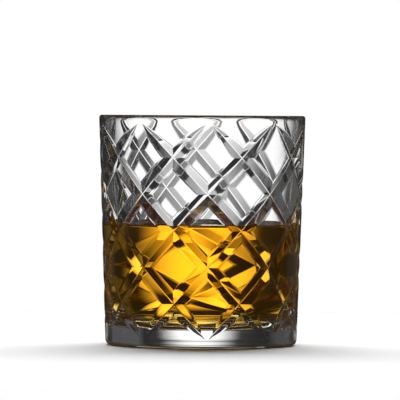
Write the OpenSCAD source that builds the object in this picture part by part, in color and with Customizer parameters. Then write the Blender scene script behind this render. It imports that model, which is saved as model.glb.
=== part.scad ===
// Whiskey tumbler: a pressed glass with a lattice of V grooves, holding a measure of whiskey.
// Millimetres, +Z up, origin at the centre of the foot.

/* [Glass] */
// Height of the glass
height = 91.2; // [80:0.4:105]
// Outer diameter at the rim
rim_d = 82; // [76:0.5:90]
// Outer diameter where the straight side would meet the table
base_d = 75.9; // [70:0.5:84]
// Wall thickness just below the rim
rim_wall = 2.2; // [2:0.1:3]
// Wall thickness low in the glass
body_wall = 4.6; // [4:0.1:6]
// Depth below the rim at which the wall reaches its full thickness
wall_blend = 55; // [35:1:65]
// Thickness of the solid base
base_wall = 7; // [6:0.2:12]
// Radius of the rounded edge of the foot
foot_round = 2.4; // [1.5:0.1:4]
// Radius of the rounded corner at the bottom of the well
well_round = 16; // [3:0.5:18]
// Radius of the hollow under the foot
punt_r = 30; // [20:1:32]
// Depth of the hollow under the foot
punt_depth = 0.6; // [0.2:0.1:1.5]

/* [Grooves] */
// Number of diamonds around the glass
diamonds = 9; // [7:1:12]
// Height of the lowest line of groove ends
groove_low = 3.35; // [2:0.05:6]
// Rise of a groove from one line of crossings to the next
row_rise = 14.25; // [12:0.25:14.5]
// Depth of a groove
groove_depth = 1.1; // [0.5:0.05:1.5]
// Width of a groove where it is deepest
groove_w = 6.2; // [4:0.1:7]

/* [Drink] */
// Depth of the whiskey above the bottom of the well
drink_depth = 40.3; // [10:0.1:60]

/* [Hidden] */
$fn = 96;
glass_tint = [0.86, 0.93, 0.95, 0.45];
whiskey_tint = [0.86, 0.55, 0.08];
wall_steps = 10;
corner_steps = 12;
lip_steps = 10;
// a groove crosses the lattice in this many rises, and turns half a diamond in each
groove_rises = 6;
half_diamond = 180 / diamonds;
// share of the first and last rise that stays uncut, at a groove's pointed ends
uncut = 0.09;
// height of the cutter's top above the glass
cutter_over = 1.2;
// rises between the rings of the cutter: fine where it runs out, coarse between
end_step = 0.25;
middle_step = 0.5;

function mix(a, b, t) = a + (b - a) * t;

// Outer radius of the uncut side at height z
function side_r(z) = mix(base_d / 2, rim_d / 2, z / height);

// Wall thickness at height z: thin at the rim, thickening along a parabola
function wall(z) =
    mix(rim_wall, body_wall, 1 - pow(1 - min((height - z) / wall_blend, 1), 2));

// Radius of the well at height z
function well_r(z) = side_r(z) - wall(z);

// Points on an arc of radius r about c, from angle a to angle b
function arc(c, r, a, b, steps) =
    [for (i = [0 : steps]) c + r * [cos(mix(a, b, i / steps)), sin(mix(a, b, i / steps))]];

lean = atan((rim_d - base_d) / 2 / height);
lip_r = rim_wall / 2;
lip_z = height - lip_r;
foot_c = [side_r(foot_round) - foot_round / cos(lean), foot_round];
well_c = [well_r(base_wall + well_round) - well_round, base_wall + well_round];
sink_z = [for (i = [0 : wall_steps]) mix(well_c.y, lip_z, i / wall_steps)];

// Half outline of the glass before the well is taken out
function blank_outline() = concat(
    [[0, punt_depth]],
    [for (i = [corner_steps - 1 : -1 : 0])
        [punt_r * (1 - i / corner_steps), punt_depth * (1 - pow(1 - i / corner_steps, 2))]],
    arc(foot_c, foot_round, -90, -lean, corner_steps),
    arc([side_r(lip_z) - lip_r / cos(lean), lip_z], lip_r, -lean, 90, lip_steps),
    [[0, height]]
);

// Half outline of the well, from the middle of the rim down and across the bottom
function well_outline() = concat(
    [[0, base_wall]],
    arc(well_c, well_round, -90, 0, corner_steps),
    [for (z = sink_z) if (z > well_c.y) [well_r(z), z]],
    [[well_r(lip_z), height + 1], [0, height + 1]]
);

// Depth of a groove after it has climbed t rises: full in the middle, running out at both ends
function depth_at(t) =
    let (from_end = (min(t, groove_rises - t) - uncut) / (1 - uncut))
    groove_depth * (from_end < 1 ? 1 - pow(1 - from_end, 2) : 1);

// Point on the glass beside a groove: t rises up, off across the groove, over out from the side
function beside(t, off, over, hand) =
    let (
        z0 = groove_low + t * row_rise,
        across = side_r(z0) * half_diamond * PI / 180,
        span = norm([across, row_rise]),
        z = z0 + off * across / span,
        turn = t * half_diamond - off * row_rise / span / side_r(z0) * 180 / PI,
        r = side_r(z) + over
    )
    [r * cos(hand * turn - 90), r * sin(hand * turn - 90), z];

// Places of the cutter's rings, in rises. None is at a crossing, where two cutters' rings would meet.
function ring_places() = concat(
    [0, end_step, 2 * end_step],
    [for (t = [3 * end_step : middle_step : groove_rises - 3 * end_step]) t],
    [groove_rises - 2 * end_step, groove_rises - end_step, groove_rises]
);

// Cutter for one groove: a triangular bar wound around the side. hand is 1 or -1.
module groove_cutter(hand) {
    places = ring_places();
    slope = groove_w / 2 / groove_depth;
    points = [for (t = places)
        let (half = slope * (depth_at(t) + cutter_over))
        each [
            beside(t, 0, -depth_at(t), hand),
            beside(t, half, cutter_over, hand),
            beside(t, -half, cutter_over, hand)
        ]];
    last = 3 * (len(places) - 1);
    sides = [for (i = [0 : len(places) - 2], s = [0 : 2])
        let (a = 3 * i + s, b = 3 * i + (s + 1) % 3)
        each [[a, b, b + 3], [a, b + 3, a + 3]]];
    ends = [[0, 2, 1], [last, last + 1, last + 2]];
    faces = concat(sides, ends);
    polyhedron(points, hand > 0 ? [for (f = faces) [f[2], f[1], f[0]]] : faces);
}

module well() {
    rotate_extrude() polygon(well_outline());
}

module tumbler() {
    color(glass_tint) difference() {
        rotate_extrude() polygon(blank_outline());
        well();
        for (k = [0 : diamonds - 1], hand = [-1, 1])
            rotate([0, 0, 2 * k * half_diamond]) groove_cutter(hand);
    }
}

module whiskey() {
    color(whiskey_tint) intersection() {
        well();
        cylinder(r = rim_d / 2, h = base_wall + drink_depth);
    }
}

tumbler();
whiskey();
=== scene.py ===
"""Looks of the whiskey tumbler: a cut glass body, the whiskey in it, and the studio around it."""

import math

import bpy
import numpy as np
from mathutils import Matrix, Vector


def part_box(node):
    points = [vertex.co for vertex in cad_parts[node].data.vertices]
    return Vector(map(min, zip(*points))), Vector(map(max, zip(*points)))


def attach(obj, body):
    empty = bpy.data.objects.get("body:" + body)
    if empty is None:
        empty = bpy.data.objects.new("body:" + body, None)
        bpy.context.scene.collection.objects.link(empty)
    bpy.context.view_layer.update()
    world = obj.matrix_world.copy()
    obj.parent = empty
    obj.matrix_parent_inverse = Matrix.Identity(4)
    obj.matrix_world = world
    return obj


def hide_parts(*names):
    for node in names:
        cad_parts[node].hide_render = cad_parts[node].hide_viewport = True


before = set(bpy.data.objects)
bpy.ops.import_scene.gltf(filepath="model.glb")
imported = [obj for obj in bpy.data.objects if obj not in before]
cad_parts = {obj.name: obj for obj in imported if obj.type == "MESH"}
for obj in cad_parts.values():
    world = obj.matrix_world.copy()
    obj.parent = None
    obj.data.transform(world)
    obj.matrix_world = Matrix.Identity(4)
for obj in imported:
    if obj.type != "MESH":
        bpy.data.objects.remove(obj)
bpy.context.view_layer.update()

# ---- Sizes, in metres. Those that the frame doesn't give repeat part.scad's. ----

MM = 0.001
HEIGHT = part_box("tumbler")[1].z
RIM_R = 41.0 * MM
BASE_R = 37.95 * MM
RIM_WALL = 2.2 * MM
BODY_WALL = 4.6 * MM
WALL_BLEND = 55 * MM
BASE_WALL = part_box("whiskey")[0].z
FOOT_ROUND = 2.4 * MM
WELL_ROUND = 16 * MM
PUNT_R = 30 * MM
PUNT_DEPTH = 0.6 * MM
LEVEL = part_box("whiskey")[1].z

# the lattice of grooves: a groove climbs in rises, from one line of crossings to the next
DIAMONDS = 9
HALF_DIAMOND = math.pi / DIAMONDS
RISES = 6
ROW_RISE = 14.25 * MM
GROOVE_LOW = 3.35 * MM
GROOVE_DEPTH = 1.1 * MM
GROOVE_W = 6.2 * MM
GROOVE_SLOPE = GROOVE_W / 2 / GROOVE_DEPTH
# share of a groove's first and last rise that stays uncut
UNCUT = 0.09
# half widths of the rounding that fire polishing leaves in a valley and along a groove's edge,
# and the most that each may be of a groove's half width, where a groove is narrow
VALLEY_ROUND = 0.3 * MM
EDGE_ROUND = 0.6 * MM
VALLEY_SHARE = 0.25
EDGE_SHARE = 0.3
# a groove is never narrower than at this share of its full depth, so that no two grid lines meet
LEAST_FADE = 0.02
# the faint ridge that the mould leaves beside each groove
RIDGE_H = 0.035 * MM
RIDGE_HALF = 0.4 * MM

# the whiskey climbs the wall a little
MENISCUS_H = 1.1 * MM
MENISCUS_REACH = 1.5 * MM
CONTACT = LEVEL + MENISCUS_H
# the whiskey's skin lies this far inside the glass, so that no gap shows
SEAT = 0.02 * MM
# heights closer than this are the same
TINY = 0.001 * MM

# ---- Fineness of the meshes ----

WALL_STEP = 2.5 * MM  # height between two rings of the inside wall
LIP_STEPS = 18
FOOT_STEPS = 10
WELL_STEPS = 20
PUNT_RINGS = 10
WELL_FLAT_RINGS = 14
WHISKEY_STEPS = 192  # points in each ring of the whiskey
# rings of the whiskey's top: fine over the meniscus, coarse across the middle
MENISCUS_RINGS = np.linspace(0, 6 * MM, 25)
MIDDLE_RINGS = np.linspace(9 * MM, 33 * MM, 9)
BLOCK = 10  # grid steps from a groove's valley to the far side of its ridge
FLAT = 8  # grid steps across the flat of a diamond
CELL = 2 * BLOCK + FLAT
SETTLING_ROUNDS = 8  # rounds in which the grid's points settle on their grooves


# ---- Profile of the glass ----


def mix(a, b, t):
    return a + (b - a) * t


def side_r(z):
    """Radius of the outside without its grooves."""
    return mix(BASE_R, RIM_R, z / HEIGHT)


def well_r(z):
    """Radius of the well: the wall is thin at the rim and thickens along a parabola."""
    blend = np.minimum((HEIGHT - z) / WALL_BLEND, 1)
    return side_r(z) - mix(RIM_WALL, BODY_WALL, 1 - (1 - blend) ** 2)


def arc(centre, radius, start, end, steps):
    """Points (r, z) on an arc, from one angle to another in degrees."""
    a = np.radians(np.linspace(start, end, steps + 1))
    return [(centre[0] + radius * math.cos(t), centre[1] + radius * math.sin(t)) for t in a]


LEAN = math.degrees(math.atan((RIM_R - BASE_R) / HEIGHT))
LIP_R = RIM_WALL / 2
WELL_TURN = BASE_WALL + WELL_ROUND


def foot_profile():
    """The hollow, the bearing ring and the foot's edge, from the middle out to the lattice."""
    innermost = 0.08  # share of the hollow's radius
    beside_edge = 0.08  # share of the bearing ring's width
    punt = [(PUNT_R * t, PUNT_DEPTH * (1 - t**2)) for t in np.linspace(innermost, 1, PUNT_RINGS)]
    foot = (side_r(FOOT_ROUND) - FOOT_ROUND / math.cos(math.radians(LEAN)), FOOT_ROUND)
    bearing = [(mix(PUNT_R, foot[0], t), 0) for t in (beside_edge, 1 - beside_edge)]
    return punt + bearing + arc(foot, FOOT_ROUND, -90, -LEAN, FOOT_STEPS)


def well_floor():
    """The bottom of the well, from its rounded corner in to the middle."""
    turn = (well_r(WELL_TURN) - WELL_ROUND, WELL_TURN)
    start = -3  # degrees: the wall's last ring is at 0
    outermost, innermost = 0.97, 0.02  # shares of the flat's radius
    flat = [(turn[0] * t, BASE_WALL) for t in np.linspace(outermost, innermost, WELL_FLAT_RINGS)]
    return arc(turn, WELL_ROUND, start, -90, WELL_STEPS) + flat


def wall_points(top, bottom):
    """Points (r, z) down the inside wall."""
    steps = max(int((top - bottom) / WALL_STEP), 1)
    return [(float(well_r(z)), z) for z in np.linspace(top, bottom, steps + 1)]


def dry_profile():
    """Over the lip and down the inside wall to the line where the whiskey touches it."""
    lip_z = HEIGHT - LIP_R
    lip = (side_r(lip_z) - LIP_R, lip_z)
    under_lip = 0.4 * MM
    return arc(lip, LIP_R, -LEAN, 180, LIP_STEPS) + wall_points(lip_z - under_lip, CONTACT)


def wet_profile():
    """From that line down the inside wall and across the bottom of the well."""
    return wall_points(CONTACT, WELL_TURN)[1:] + well_floor()


# ---- The grooved side, on a grid that follows the grooves ----
# A point on the side has lattice coordinates u and v: u grows up and to the right, v up and to the left.
# Grooves run where u or v is a whole number, u + v is the height in rises above GROOVE_LOW,
# and u - v is the angle from -Y in half diamonds.


def fade(t):
    """Depth of a groove after t rises, as a share of its full depth: it runs out at both ends."""
    from_end = (np.minimum(t, RISES - t) - UNCUT) / (1 - UNCUT)
    return np.where(from_end < 1, 1 - (1 - from_end) ** 2, 1)


def span(t):
    """Length of one lattice step along a groove."""
    across = side_r(GROOVE_LOW + t * ROW_RISE) * HALF_DIAMOND
    return np.hypot(across, ROW_RISE)


def section(t):
    """Half width of a groove, and of the rounding of its valley and of its edges, after t rises."""
    half = GROOVE_SLOPE * GROOVE_DEPTH * np.maximum(fade(t), LEAST_FADE)
    return half, np.minimum(VALLEY_ROUND, VALLEY_SHARE * half), np.minimum(EDGE_ROUND, EDGE_SHARE * half)


def groove_depth(off, t):
    """Depth at a distance off from the valley of the groove, with a rounded valley and rounded edges."""
    off = np.abs(off)
    _, valley, edge = section(t)
    off = np.where(off < valley, off**2 / (2 * valley) + valley / 2, off)
    depth = GROOVE_DEPTH * fade(t) - off / GROOVE_SLOPE
    e = edge / GROOVE_SLOPE
    return np.where(depth < -e, 0, np.where(depth > e, depth, (depth + e) ** 2 / (4 * e)))


def ridge_height(off, t):
    """Height of the ridge beside the groove."""
    from_top = (np.abs(off) - section(t)[0] - RIDGE_HALF) / RIDGE_HALF
    hump = np.cos(np.pi / 2 * np.clip(from_top, -1, 1)) ** 2
    return RIDGE_H * np.clip(fade(t), 0, 1) * hump


def nearest(a, b):
    """For the groove nearest to a: the distance off from its valley, and the rises climbed along it."""
    near = np.round(a)
    return (a - near) * span(a + b), near + b


def depth_u(u, v):
    """Depth under the plain side with only the grooves of whole u cut."""
    place = nearest(u, v)
    return groove_depth(*place) - ridge_height(*place)


def depth_v(u, v):
    """Depth under the plain side with only the grooves of whole v cut."""
    return depth_u(v, u)


def depth_both(u, v):
    """Depth with all grooves cut: the deeper one where two cross. A ridge ends at the other's edge."""
    place_u, place_v = nearest(u, v), nearest(v, u)
    deep_u, deep_v = groove_depth(*place_u), groove_depth(*place_v)
    ridge_u = ridge_height(*place_u) * np.clip(1 - deep_v / RIDGE_H, 0, 1)
    ridge_v = ridge_height(*place_v) * np.clip(1 - deep_u / RIDGE_H, 0, 1)
    return np.maximum(deep_u, deep_v) - np.maximum(ridge_u, ridge_v)


def on_side(u, v, depth):
    """Place of the point (u, v), at a depth under the plain side."""
    z = GROOVE_LOW + (u + v) * ROW_RISE
    angle = (u - v) * HALF_DIAMOND
    r = side_r(z) - depth
    return np.stack([r * np.sin(angle), -r * np.cos(angle), z], axis=-1)


def side_normals(u, v, depth_of):
    """Normals of the side with only one family of grooves cut, so that crossings keep crisp mitres."""
    h = 2e-4  # lattice steps
    du = on_side(u + h, v, depth_of(u + h, v)) - on_side(u - h, v, depth_of(u - h, v))
    dv = on_side(u, v + h, depth_of(u, v + h)) - on_side(u, v - h, depth_of(u, v - h))
    n = np.cross(du, dv)
    return n / np.linalg.norm(n, axis=-1, keepdims=True)


def half_stations(t):
    """Lattice offsets of the grid lines beside a groove, from its valley to the far side of its ridge."""
    half, valley, edge = section(t)
    lines = [0 * half, 0.5 * valley, valley]
    lines += [(valley + half - edge) / 2, half - edge, half - 0.5 * edge]
    lines += [half + step * RIDGE_HALF for step in (0, 0.5, 1, 1.5, 2)]
    return np.stack(lines) / span(t)


def across_cell(k, t_low, t_high):
    """Offset, from 0 to 1, of grid line k between two neighbouring grooves."""
    low, high = half_stations(t_low), half_stations(t_high)
    column = np.arange(len(k))
    flat_share = np.clip((k - BLOCK) / FLAT, 0, 1)
    flat = mix(low[-1], 1 - high[-1], flat_share)
    near_low = low[np.minimum(k, BLOCK), column]
    near_high = 1 - high[np.minimum(CELL - k, BLOCK), column]
    return np.where(k <= BLOCK, near_low, np.where(k >= CELL - BLOCK, near_high, flat))


def lattice():
    """Lattice coordinates of the grid's points, in rows of equal grid height, and their counts.

    Every second row is shifted around by half a column. A point's u depends on its v, and its v on its u,
    so that it lies beside both grooves where it should: they are worked out in rounds.
    """
    rows, columns = RISES * CELL + 1, DIAMONDS * CELL
    t, c = np.meshgrid(np.arange(rows), np.arange(columns), indexing="ij")
    s = 2 * c + t % 2
    grid_u, grid_v = ((t + s) // 2).ravel(), ((t - s) // 2).ravel()
    cell_u, cell_v = grid_u // CELL, grid_v // CELL
    k_u, k_v = grid_u % CELL, grid_v % CELL
    u, v = grid_u / CELL, grid_v / CELL
    for _ in range(SETTLING_ROUNDS):
        u = cell_u + across_cell(k_u, cell_u + v, cell_u + 1 + v)
        v = cell_v + across_cell(k_v, cell_v + u, cell_v + 1 + u)
    # the lowest and highest rows are level
    for row, height in ((0, 0), (rows - 1, RISES)):
        edge = t.ravel() == row
        slip = (height - u[edge] - v[edge]) / 2
        u[edge] += slip
        v[edge] += slip
    return u, v, rows, columns


def lattice_triangles(rows, columns):
    """Corner indices of the side's triangles, and which family of grooves each belongs to."""
    t, c = np.meshgrid(np.arange(-1, rows - 1), np.arange(columns), indexing="ij")
    t, c = t.ravel(), c.ravel()
    s = 2 * c + t % 2

    def index(t, s):
        """Number of the point in row t that is s half columns around."""
        return t * columns + (s - t % 2) // 2 % columns

    bottom, right = index(t, s), index(t + 1, s + 1)
    left, top = index(t + 1, s - 1), index(t + 2, s)
    a, b = (t + s) // 2 % CELL, (t - s) // 2 % CELL
    # The grid's cells are split from bottom to top, but from side to side to the left and right of a
    # crossing, where the mitre runs level. The lowest and highest rows are half cells.
    side_corner = (np.minimum(a, b) < BLOCK) & (np.maximum(a, b) >= CELL - BLOCK)
    first, last = t < 0, t + 2 > rows - 1
    across = side_corner | first | last

    def family(a, b):
        """0 where the nearest groove is of the u family, 1 where it is of the v family."""
        near_u, near_v = np.minimum(a, CELL - a), np.minimum(b, CELL - b)
        return (near_u > near_v).astype(int)

    third = 1 / 3
    pieces = [
        (~across, (bottom, right, top), family(a + 2 * third, b + third)),
        (~across, (bottom, top, left), family(a + third, b + 2 * third)),
        (across & ~first, (bottom, right, left), family(a + third, b + third)),
        (across & ~last, (right, top, left), family(a + 2 * third, b + 2 * third)),
    ]
    corners = np.concatenate([np.stack(p, axis=1)[keep] for keep, p, _ in pieces])
    families = np.concatenate([f[keep] for keep, _, f in pieces])
    return corners, families


# ---- Meshes ----


def profile_normals(profile):
    """Unit normals (r, z) of a profile, to the right of the way it runs."""
    along = np.gradient(np.array(profile), axis=0)
    n = np.stack([along[:, 1], -along[:, 0]], axis=1)
    return n / np.linalg.norm(n, axis=1, keepdims=True)


def turned(profile, angles):
    """Rings of points, one ring for each point of the profile."""
    p = np.array(profile)
    r, z = p[:, :1], np.repeat(p[:, 1:], len(angles), axis=1)
    return np.stack([r * np.sin(angles), -r * np.cos(angles), z], axis=-1)


class Shell:
    """Collects the points, faces and corner normals of one closed mesh.

    A ring of points around the axis is given as its first point's index and its points' normals.
    """

    def __init__(self):
        self.points, self.faces, self.normals, self.slots = [], [], [], []
        self.count = 0

    def add_points(self, points):
        """Returns the index of the first point."""
        points = np.asarray(points, float).reshape(-1, 3)
        first = self.count
        self.points.append(points)
        self.count += len(points)
        return first

    def add_faces(self, corners, normals, slot=0):
        """corners is (faces, 3 or 4) indices, and normals (faces, 3 or 4, 3)."""
        self.faces += corners.tolist()
        self.normals.append(np.asarray(normals, float).reshape(-1, 3))
        self.slots += [slot] * len(corners)

    def join_rings(self, ring_a, ring_b, slot=0):
        """Quads between two rings of the same number of points."""
        (first_a, normals_a), (first_b, normals_b) = ring_a, ring_b
        i = np.arange(len(normals_a))
        j = (i + 1) % len(i)
        corners = np.stack([first_a + i, first_a + j, first_b + j, first_b + i], axis=1)
        normals = np.stack([normals_a[i], normals_a[j], normals_b[j], normals_b[i]], axis=1)
        self.add_faces(corners, normals, slot)

    def add_rings(self, profile, angles, last=None, shared=None, slot=0):
        """Joined-up rings for the whole profile. Returns the first ring and the last.

        The first ring is joined to the ring last, or takes over the points of the ring shared.
        """
        added = []
        for points, (nr, nz) in zip(turned(profile, angles), profile_normals(profile)):
            normals = np.stack([nr * np.sin(angles), -nr * np.cos(angles), 0 * angles + nz], axis=1)
            first = shared[0] if shared and not added else self.add_points(points)
            ring = (first, normals)
            if last:
                self.join_rings(last, ring, slot)
            last = ring
            added.append(ring)
        return added[0], added[-1]

    def close(self, ring, z, up, slot=0):
        """A fan from a ring to a point on the axis, with its normal up or down."""
        first, normals = ring
        middle = self.add_points([[0, 0, z]])
        i = np.arange(len(normals))
        j = (i + 1) % len(i)
        a, b = (i, j) if up else (j, i)
        corners = np.stack([first + a, first + b, np.full(len(i), middle)], axis=1)
        straight = np.tile([0, 0, 1.0 if up else -1.0], (len(i), 3, 1))
        self.add_faces(corners, straight, slot)

    def build(self, name, materials):
        """Makes the object. A face's slot is the number of its material."""
        mesh = bpy.data.meshes.new(name)
        mesh.from_pydata(np.concatenate(self.points).tolist(), [], self.faces)
        for m in materials:
            mesh.materials.append(m)
        mesh.polygons.foreach_set("material_index", self.slots)
        mesh.polygons.foreach_set("use_smooth", [True] * len(self.faces))
        mesh.normals_split_custom_set(np.concatenate(self.normals).tolist())
        obj = bpy.data.objects.new(name, mesh)
        bpy.context.scene.collection.objects.link(obj)
        return obj


def glass_body(materials):
    """The tumbler: underside, grooved side, lip and well, as one closed mesh."""
    shell = Shell()
    u, v, rows, columns = lattice()
    points = on_side(u, v, depth_both(u, v))
    family_normals = np.stack([side_normals(u, v, depth_u), side_normals(u, v, depth_v)])
    first = shell.add_points(points)
    corners, families = lattice_triangles(rows, columns)
    shell.add_faces(corners, family_normals[families[:, None], corners])

    angles = ((u - v) * HALF_DIAMOND).reshape(rows, columns)
    normals = family_normals[0].reshape(rows, columns, 3)
    side_bottom = (first, normals[0])
    side_top = (first + (rows - 1) * columns, normals[-1])
    hollow, foot = shell.add_rings(foot_profile(), angles[0])
    shell.close(hollow, PUNT_DEPTH, up=False)
    shell.join_rings(foot, side_bottom)
    _, contact = shell.add_rings(dry_profile(), angles[-1], last=side_top)
    _, well = shell.add_rings(wet_profile(), angles[-1], last=contact, slot=1)
    shell.close(well, BASE_WALL, up=True, slot=1)
    return shell.build("cut_glass_body", materials)


def whiskey_body(materials):
    """The whiskey: a skin that lies just inside the glass, and a top that climbs the wall."""
    shell = Shell()
    angles = np.linspace(0, 2 * math.pi, WHISKEY_STEPS, endpoint=False)
    wall = [(r + SEAT, z) for r, z in wall_points(CONTACT, WELL_TURN)]
    bottom = [(r + SEAT if z > BASE_WALL + TINY else r, z - SEAT) for r, z in well_floor()]
    middle, edge = shell.add_rings(list(reversed(wall + bottom)), angles)
    shell.close(middle, BASE_WALL - SEAT, up=False)

    inward = np.concatenate([MENISCUS_RINGS, MIDDLE_RINGS])
    climb = MENISCUS_H * np.exp(-inward / MENISCUS_REACH)
    top = [(wall[0][0] - d, LEVEL + h) for d, h in zip(inward, climb)]
    _, centre = shell.add_rings(top, angles, shared=edge, slot=1)
    shell.close(centre, LEVEL, up=True, slot=1)
    return shell.build("whiskey_drink", materials)


# ---- Materials ----


def clear_material(name, ior):
    """A clear dielectric. ior is relative to what lies outside the surface."""
    m = bpy.data.materials.new(name)
    m.use_nodes = True
    p = m.node_tree.nodes["Principled BSDF"]
    p.inputs["Base Color"].default_value = (1, 1, 1, 1)
    p.inputs["Roughness"].default_value = 0
    p.inputs["IOR"].default_value = ior
    p.inputs["Transmission Weight"].default_value = 1
    return m


def add_waviness(material, scale, height):
    """The faint ripple of glass pressed in a mould and fire polished."""
    nodes, links = material.node_tree.nodes, material.node_tree.links
    coords = nodes.new("ShaderNodeTexCoord")
    noise = nodes.new("ShaderNodeTexNoise")
    noise.inputs["Scale"].default_value = scale
    noise.inputs["Detail"].default_value = 1
    bump = nodes.new("ShaderNodeBump")
    bump.inputs["Strength"].default_value = 1
    bump.inputs["Distance"].default_value = height
    links.new(coords.outputs["Object"], noise.inputs["Vector"])
    links.new(noise.outputs["Fac"], bump.inputs["Height"])
    links.new(bump.outputs["Normal"], nodes["Principled BSDF"].inputs["Normal"])


def add_absorption(material, taken):
    """Takes off light by depth. taken is what each colour loses per metre."""
    density = max(taken)
    absorb = material.node_tree.nodes.new("ShaderNodeVolumeAbsorption")
    absorb.inputs["Color"].default_value = (*[1 - t / density for t in taken], 1)
    absorb.inputs["Density"].default_value = density
    output = material.node_tree.nodes["Material Output"]
    material.node_tree.links.new(absorb.outputs["Volume"], output.inputs["Volume"])


GLASS_IOR = 1.52
WHISKEY_IOR = 1.36
# index of the whiskey's skin against the glass, where the glass's own surface does the bending
SKIN_IOR = 1.001
# what the whiskey takes off red, green and blue, per metre
WHISKEY_TAKES = (0.6, 14, 70)


def glass_materials():
    """Glass in air, with a faint ripple, and glass against the whiskey."""
    dry = clear_material("clear_glass", GLASS_IOR)
    wet = clear_material("glass_against_whiskey", GLASS_IOR / WHISKEY_IOR)
    add_waviness(dry, scale=90, height=0.02 * MM)
    return [dry, wet]


def whiskey_materials():
    """The whiskey's skin against the glass, and its free surface, both with its amber inside."""
    inside = clear_material("whiskey_against_glass", SKIN_IOR)
    surface = clear_material("whiskey_surface", WHISKEY_IOR)
    for m in (inside, surface):
        add_absorption(m, WHISKEY_TAKES)
    return [inside, surface]


# ---- Studio ----
# Directions are azimuth and elevation in degrees, seen from the glass: azimuth 0 is straight behind it
# from the camera, and 90 is to the right. A strength of 1 is plain white.

VIEW_AZIMUTH = -3.5  # the camera stands this many degrees around from -Y
BEHIND = (1, -3)  # the middle of the main glow
# the main glow through the clear glass is held back towards this strength, over a soft knee
CLEAR_LIMIT = 1.15
CLEAR_KNEE = 0.6
# the glows all round; azimuth jumps from 180 to -180, so the one in front of the glass is there twice
GLOWS_AROUND = ((90, -4), (135, -14), (180, -8), (-180, -8), (-135, -14), (-90, -4))
LOW_GLOW_AT = (-45, -29)
# light that has crossed more surfaces than the four of two dry walls counts as having been through
# the whiskey
DRY_CROSSINGS = 4.5
# light that has met more surfaces than this has bounced about in the glass, and is dim and even
MOST_BOUNCES = 12.5
BOUNCED_LIGHT = 0.04
ROOM_LIGHT = 0.02
TABLE_FILL = 0.14


class WorldMaker:
    """Builds the studio as a world shader, out of numbers and directions."""

    def __init__(self):
        world = bpy.data.worlds.new("studio")
        world.use_nodes = True
        bpy.context.scene.world = world
        self.nodes, self.links = world.node_tree.nodes, world.node_tree.links
        self.background = self.nodes["Background"]
        self.path = self.nodes.new("ShaderNodeLightPath").outputs
        self.azimuth, self.elevation = self.directions()

    def math(self, operation, *values):
        """The outcome of a math node. A value is a number or another node's output."""
        node = self.nodes.new("ShaderNodeMath")
        node.operation = operation
        for socket, value in zip(node.inputs, values):
            if isinstance(value, (int, float)):
                socket.default_value = value
            else:
                self.links.new(value, socket)
        return node.outputs[0]

    def total(self, *values):
        result = values[0]
        for value in values[1:]:
            result = self.math("ADD", result, value)
        return result

    def product(self, *values):
        result = values[0]
        for value in values[1:]:
            result = self.math("MULTIPLY", result, value)
        return result

    def blend(self, a, b, share):
        """a where share is 0, and b where it is 1."""
        rest = self.math("SUBTRACT", 1, share)
        return self.total(self.product(a, rest), self.product(b, share))

    def step(self, value, low, high):
        """0 below low, 1 above high, smooth between."""
        node = self.nodes.new("ShaderNodeMapRange")
        node.interpolation_type = "SMOOTHSTEP"
        node.inputs["From Min"].default_value = low
        node.inputs["From Max"].default_value = high
        self.links.new(value, node.inputs["Value"])
        return node.outputs["Result"]

    def directions(self):
        """Azimuth from the view's own direction, and elevation, in degrees."""
        coords = self.nodes.new("ShaderNodeTexCoord")
        turn = self.nodes.new("ShaderNodeVectorRotate")
        turn.rotation_type = "Z_AXIS"
        turn.inputs["Angle"].default_value = math.radians(-VIEW_AZIMUTH)
        split = self.nodes.new("ShaderNodeSeparateXYZ")
        self.links.new(coords.outputs["Generated"], turn.inputs["Vector"])
        self.links.new(turn.outputs["Vector"], split.inputs["Vector"])
        x, y, z = split.outputs
        azimuth = self.math("DEGREES", self.math("ARCTAN2", x, y))
        elevation = self.math("DEGREES", self.math("ARCSINE", z))
        return azimuth, elevation

    def glow(self, at, radius, strength):
        """A soft oval glow: brightest in its middle, nothing at its edge."""
        across = self.math("DIVIDE", self.math("SUBTRACT", self.azimuth, at[0]), radius[0])
        up = self.math("DIVIDE", self.math("SUBTRACT", self.elevation, at[1]), radius[1])
        square = self.total(self.product(across, across), self.product(up, up))
        inside = self.math("MAXIMUM", self.math("SUBTRACT", 1, square), 0)
        return self.product(inside, inside, strength)

    def card(self, sides, strength, soft):
        """A bright rectangle with soft edges: sides are its left, right, low and high edges."""
        left, right, low, high = sides
        return self.product(
            self.step(self.azimuth, left - soft, left + soft),
            self.math("SUBTRACT", 1, self.step(self.azimuth, right - soft, right + soft)),
            self.step(self.elevation, low - soft, low + soft),
            self.math("SUBTRACT", 1, self.step(self.elevation, high - soft, high + soft)),
            strength,
        )


def light_through_glass(w):
    """What shows through the glass: the soft glow behind it, and fainter ones for views from all round.

    The glow behind is wider and brighter for light that has passed through the whiskey, which crosses
    more surfaces. In the clear part of the glass it is held back just short of plain white. Light that
    has bounced about in the glass is dim and even, which keeps the glass clean of specks.
    """
    glow = w.glow(BEHIND, radius=(19, 14.2), strength=1.7)
    past_glass = w.math("SMOOTH_MIN", glow, CLEAR_LIMIT, CLEAR_KNEE)
    past_drink = w.glow(BEHIND, radius=(22, 15.5), strength=2.2)
    crossed_drink = w.math("GREATER_THAN", w.path["Transmission Depth"], DRY_CROSSINGS)
    light = w.total(
        w.blend(past_glass, past_drink, crossed_drink),
        w.glow((0, 0), radius=(30, 24), strength=0.04),
        *[w.glow(at, radius=(24, 18), strength=1.3) for at in GLOWS_AROUND],
        w.glow(LOW_GLOW_AT, radius=(18, 12), strength=1.0),
    )
    few_bounces = w.math("LESS_THAN", w.path["Ray Depth"], MOST_BOUNCES)
    return w.product(w.blend(BOUNCED_LIGHT, light, few_bounces), w.path["Is Transmission Ray"])


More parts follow.
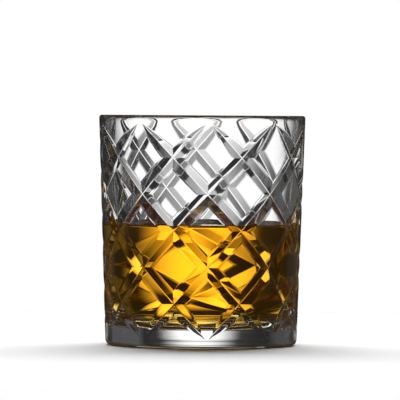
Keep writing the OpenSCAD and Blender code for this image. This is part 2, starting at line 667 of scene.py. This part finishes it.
def make_studio():
    """White to the camera, soft light from above for the floor, and soft glows all round for the glass."""
    w = WorldMaker()
    room = w.total(
        light_through_glass(w),
        w.card((28, 60, -30, 30), strength=0.07, soft=3),
        w.card((-60, -37, -30, 30), strength=0.05, soft=5),
        w.card((-180.1, 180.1, -90.1, -68), strength=0.4, soft=8),
        ROOM_LIGHT,
    )
    on_table = w.total(w.card((-55, 55, 30, 80), strength=5.0, soft=10), TABLE_FILL)
    seen = w.blend(room, on_table, w.path["Is Diffuse Ray"])
    w.background.inputs["Color"].default_value = (1, 1, 1, 1)
    w.links.new(w.blend(seen, 1, w.path["Is Camera Ray"]), w.background.inputs["Strength"])


def make_floor():
    """A pale round table top, a hair under the foot."""
    radius, drop, sides = 300 * MM, 0.05 * MM, 128
    angles = np.linspace(0, 2 * math.pi, sides, endpoint=False)
    points = [(radius * math.sin(a), radius * math.cos(a), -drop) for a in angles]
    mesh = bpy.data.meshes.new("floor")
    mesh.from_pydata(points, [], [list(range(len(points)))])
    m = bpy.data.materials.new("pale_floor")
    m.use_nodes = True
    p = m.node_tree.nodes["Principled BSDF"]
    p.inputs["Base Color"].default_value = (0.9, 0.9, 0.9, 1)
    p.inputs["Roughness"].default_value = 0.9
    p.inputs["Specular IOR Level"].default_value = 0
    mesh.materials.append(m)
    floor = bpy.data.objects.new("floor", mesh)
    bpy.context.scene.collection.objects.link(floor)
    floor.visible_glossy = False
    floor.visible_transmission = False


def make_camera():
    """A long lens at the height of the rim, looking slightly down."""
    distance = 1.77
    pitch, turn, roll = 1.089, -0.023, 0.38  # degrees
    a = math.radians(VIEW_AZIMUTH)
    data = bpy.data.cameras.new("camera")
    data.sensor_width = 36
    data.lens = 401
    data.clip_start, data.clip_end = 0.05, 20
    camera = bpy.data.objects.new("camera", data)
    place = Matrix.Translation((distance * math.sin(a), -distance * math.cos(a), HEIGHT))
    aim = (
        Matrix.Rotation(math.radians(VIEW_AZIMUTH - turn), 4, "Z")
        @ Matrix.Rotation(math.radians(90 - pitch), 4, "X")
        @ Matrix.Rotation(math.radians(roll), 4, "Z")
    )
    camera.matrix_world = place @ aim
    bpy.context.scene.collection.objects.link(camera)
    bpy.context.scene.camera = camera


def set_render_options():
    """Enough bounces for light to find its way out of the glass, and nothing blurred or clamped."""
    scene = bpy.context.scene
    scene.view_settings.view_transform = "Standard"
    scene.cycles.max_bounces = 40
    scene.cycles.transmission_bounces = 40
    scene.cycles.glossy_bounces = 16
    scene.cycles.transparent_max_bounces = 16
    scene.cycles.sample_clamp_indirect = 0
    scene.cycles.caustics_refractive = True
    scene.cycles.caustics_reflective = True
    scene.cycles.blur_glossy = 0


make_camera()
glass = glass_body(glass_materials())
drink = whiskey_body(whiskey_materials())
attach(glass, "root")
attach(drink, "root")
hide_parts("tumbler")
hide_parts("whiskey")
make_floor()
make_studio()
set_render_options()
